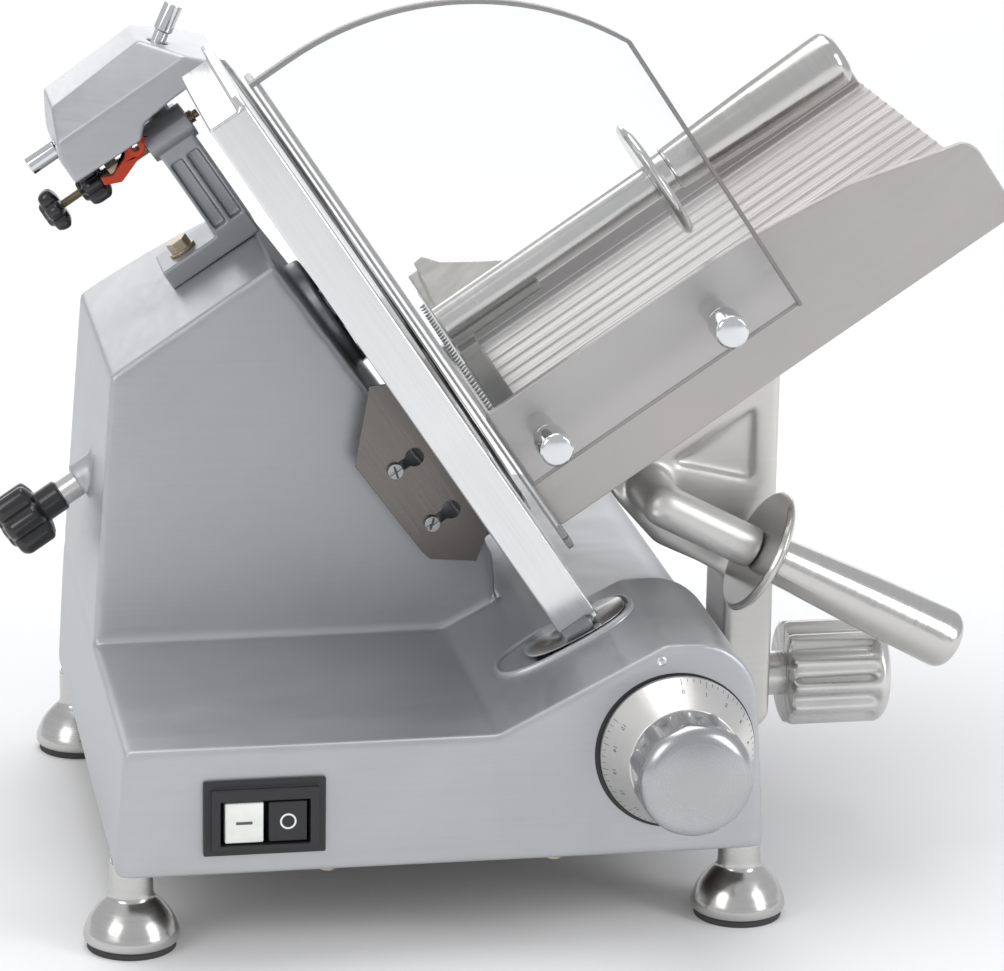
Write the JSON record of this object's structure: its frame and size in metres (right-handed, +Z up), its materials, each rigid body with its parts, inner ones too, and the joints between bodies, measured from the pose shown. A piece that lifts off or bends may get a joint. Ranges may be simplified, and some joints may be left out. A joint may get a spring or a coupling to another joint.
{
  "type": "deli meat slicer",
  "caption": "Gravity-feed meat slicer with tilted disc blade, dial-set gauge plate, sliding ribbed tray with clear hand guard and toothed pusher, and blade sharpener.",
  "frame": {"origin": "on the floor under the middle of the object's box", "axes": "+X to the operator's right, +Y away from the operator, +Z up; the operator faces the dial and switch"},
  "size_m": [0.5432, 0.501, 0.4905],
  "materials": {
    "cast_aluminium": "satin, linished after casting",
    "polished_aluminium": "polished",
    "tray_aluminium": "fine satin, warm anodised",
    "bracket_aluminium": "as cast",
    "blade_steel": "ground in circles",
    "stainless": "brushed sheet",
    "chrome": "bright",
    "machine_steel": "turned",
    "zinc_steel": "yellowed zinc plate",
    "painted_iron": "dark machine paint",
    "black_plastic": "moulded, slightly glossy",
    "white_plastic": "moulded",
    "red_plastic": "moulded",
    "rubber": "matt",
    "bronze": "sintered",
    "clear_acrylic": "clear, polished edges",
    "abrasive": "gritty"
  },
  "bodies": {
    "base": {"base_housing": "cast_aluminium", "base_cover": "stainless", "cover_screws": "machine_steel", "feet": "polished_aluminium", "foot_pads": "rubber", "switch_bezel": "black_plastic", "switch_body": "black_plastic", "gauge_rods": "machine_steel", "ring_guard": "polished_aluminium", "blade_bearings": "machine_steel", "motor_body": "painted_iron", "motor_bracket": "painted_iron", "capacitor": "white_plastic", "drive_belt": "rubber", "deflector_studs": "machine_steel", "sharpener_bracket": "bracket_aluminium", "sharpener_fasteners": "zinc_steel", "carriage_rails": "machine_steel", "cable_gland": "black_plastic", "blade_cover": "polished_aluminium", "cover_sleeve": "chrome"},
    "blade": {"blade": "blade_steel", "blade_hub": "machine_steel", "blade_screws": "machine_steel", "blade_pulley": "bracket_aluminium"},
    "motor_rotor": {"motor_rotor": "machine_steel", "motor_pulley": "machine_steel"},
    "cover_knob": {"cover_tie_rod": "machine_steel", "cover_knob": "black_plastic"},
    "dial": {"dial_disc": "polished_aluminium", "dial_knob": "polished_aluminium", "dial_shaft": "machine_steel"},
    "gauge": {"gauge_plate": "polished_aluminium", "gauge_support": "bracket_aluminium"},
    "deflector": {"slice_deflector": "stainless"},
    "button_on": {"button_on": "white_plastic"},
    "button_off": {"button_off": "black_plastic"},
    "sharpener": {"sharpener_frame": "bracket_aluminium", "sharpener_cover": "cast_aluminium"},
    "grinding_button": {"grinding_button": "chrome"},
    "grinding_stone": {"grinding_stone": "abrasive"},
    "deburring_button": {"deburring_button": "chrome"},
    "deburring_stone": {"deburring_stone": "abrasive"},
    "lock_lever": {"lock_lever": "red_plastic"},
    "clamp_knob": {"clamp_knob": "black_plastic"},
    "adjust_knob": {"adjust_knob": "black_plastic"},
    "carriage": {"carriage_slider": "bracket_aluminium", "carriage_arm": "polished_aluminium", "food_tray": "tray_aluminium", "hand_guard": "clear_acrylic", "guard_knobs": "chrome", "handle_grip": "polished_aluminium", "pusher_rod": "chrome"},
    "carriage_roller": {"carriage_roller": "machine_steel"},
    "carriage_knob": {"carriage_knob": "polished_aluminium"},
    "pusher_bush": {"pusher_bush": "bronze"},
    "pusher": {"pusher_plate": "polished_aluminium", "pusher_teeth": "stainless", "pusher_tube": "polished_aluminium", "pusher_grip": "polished_aluminium"}
  },
  "joints": [
    {"name": "blade_spin", "type": "hinge", "parent": "base", "child": "blade", "pos_m": [-0.07145, 0.0565, 0.29031], "axis": [0.829, 0, 0.5592], "continuous": true},
    {"name": "motor_spin", "type": "hinge", "parent": "base", "child": "motor_rotor", "pos_m": [-0.10728, 0.0565, 0.14672], "axis": [0.829, 0, 0.5592], "continuous": true},
    {"name": "cover_knob_turn", "type": "hinge", "parent": "base", "child": "cover_knob", "pos_m": [-0.23725, 0.0565, 0.17847], "axis": [0.829, 0, 0.5592], "continuous": true},
    {"name": "dial_turn", "type": "hinge", "parent": "base", "child": "dial", "pos_m": [0.06544, -0.1935, 0.1057], "axis": [0, -1, 0], "range_deg": [0, 300]},
    {"name": "gauge_slide", "type": "slide", "parent": "base", "child": "gauge", "axis": [-0.829, 0, -0.5592], "range_m": [0, 0.0151]},
    {"name": "deflector_slide", "type": "slide", "parent": "base", "child": "deflector", "axis": [-0.829, 0, -0.5592], "range_m": [0, 0.0128]},
    {"name": "on_press", "type": "slide", "parent": "base", "child": "button_on", "axis": [0, 1, 0], "range_m": [0, 0.0025], "stiffness_N_per_m": 800},
    {"name": "off_press", "type": "slide", "parent": "base", "child": "button_off", "axis": [0, 1, 0], "range_m": [0, 0.0025], "stiffness_N_per_m": 800},
    {"name": "sharpener_lift", "type": "slide", "parent": "base", "child": "sharpener", "axis": [-0.5592, 0, 0.829], "range_m": [0, 0.027]},
    {"name": "grinding_press", "type": "slide", "parent": "sharpener", "child": "grinding_button", "axis": [-0.4003, 0, -0.9164], "range_m": [0, 0.0065], "stiffness_N_per_m": 600},
    {"name": "grinding_spin", "type": "hinge", "parent": "grinding_button", "child": "grinding_stone", "pos_m": [-0.17432, 0.0685, 0.43925], "axis": [0.4003, 0, 0.9164], "continuous": true},
    {"name": "deburring_press", "type": "slide", "parent": "sharpener", "child": "deburring_button", "axis": [0.829, 0, 0.5592], "range_m": [0, 0.0065], "stiffness_N_per_m": 600},
    {"name": "deburring_spin", "type": "hinge", "parent": "deburring_button", "child": "deburring_stone", "pos_m": [-0.20459, 0.0685, 0.39471], "axis": [0.829, 0, 0.5592], "continuous": true},
    {"name": "lever_turn", "type": "hinge", "parent": "sharpener", "child": "lock_lever", "pos_m": [-0.19148, 0.0465, 0.38063], "axis": [0, 1, 0], "range_deg": [0, 25]},
    {"name": "clamp_turn", "type": "hinge", "parent": "base", "child": "clamp_knob", "pos_m": [-0.21158, 0.0725, 0.35501], "axis": [0.829, 0, 0.5592], "continuous": true},
    {"name": "adjust_turn", "type": "hinge", "parent": "clamp_knob", "child": "adjust_knob", "pos_m": [-0.2348, 0.0725, 0.33935], "axis": [0.829, 0, 0.5592], "continuous": true},
    {"name": "carriage_slide", "type": "slide", "parent": "base", "child": "carriage", "axis": [0, 1, 0], "range_m": [-0.1, 0.12]},
    {"name": "roller_spin", "type": "hinge", "parent": "carriage", "child": "carriage_roller", "pos_m": [0.04344, 0.0075, 0.0788], "axis": [1, 0, 0], "continuous": true},
    {"name": "carriage_knob_turn", "type": "hinge", "parent": "carriage", "child": "carriage_knob", "pos_m": [0.19344, -0.0185, 0.0835], "axis": [1, 0, 0], "continuous": true},
    {"name": "pusher_slide", "type": "slide", "parent": "carriage", "child": "pusher_bush", "axis": [0.829, 0, 0.5592], "range_m": [0, 0.2]},
    {"name": "pusher_swing", "type": "hinge", "parent": "pusher_bush", "child": "pusher", "pos_m": [0.04326, 0.2385, 0.20966], "axis": [-0.829, 0, -0.5592], "range_deg": [0, 100]}
  ],
  "couplings": [
    {"joint": "motor_spin", "follows": "blade_spin", "ratio": 3.7642},
    {"joint": "gauge_slide", "follows": "dial_turn", "m_per_rad": 0.0028648}
  ]
}
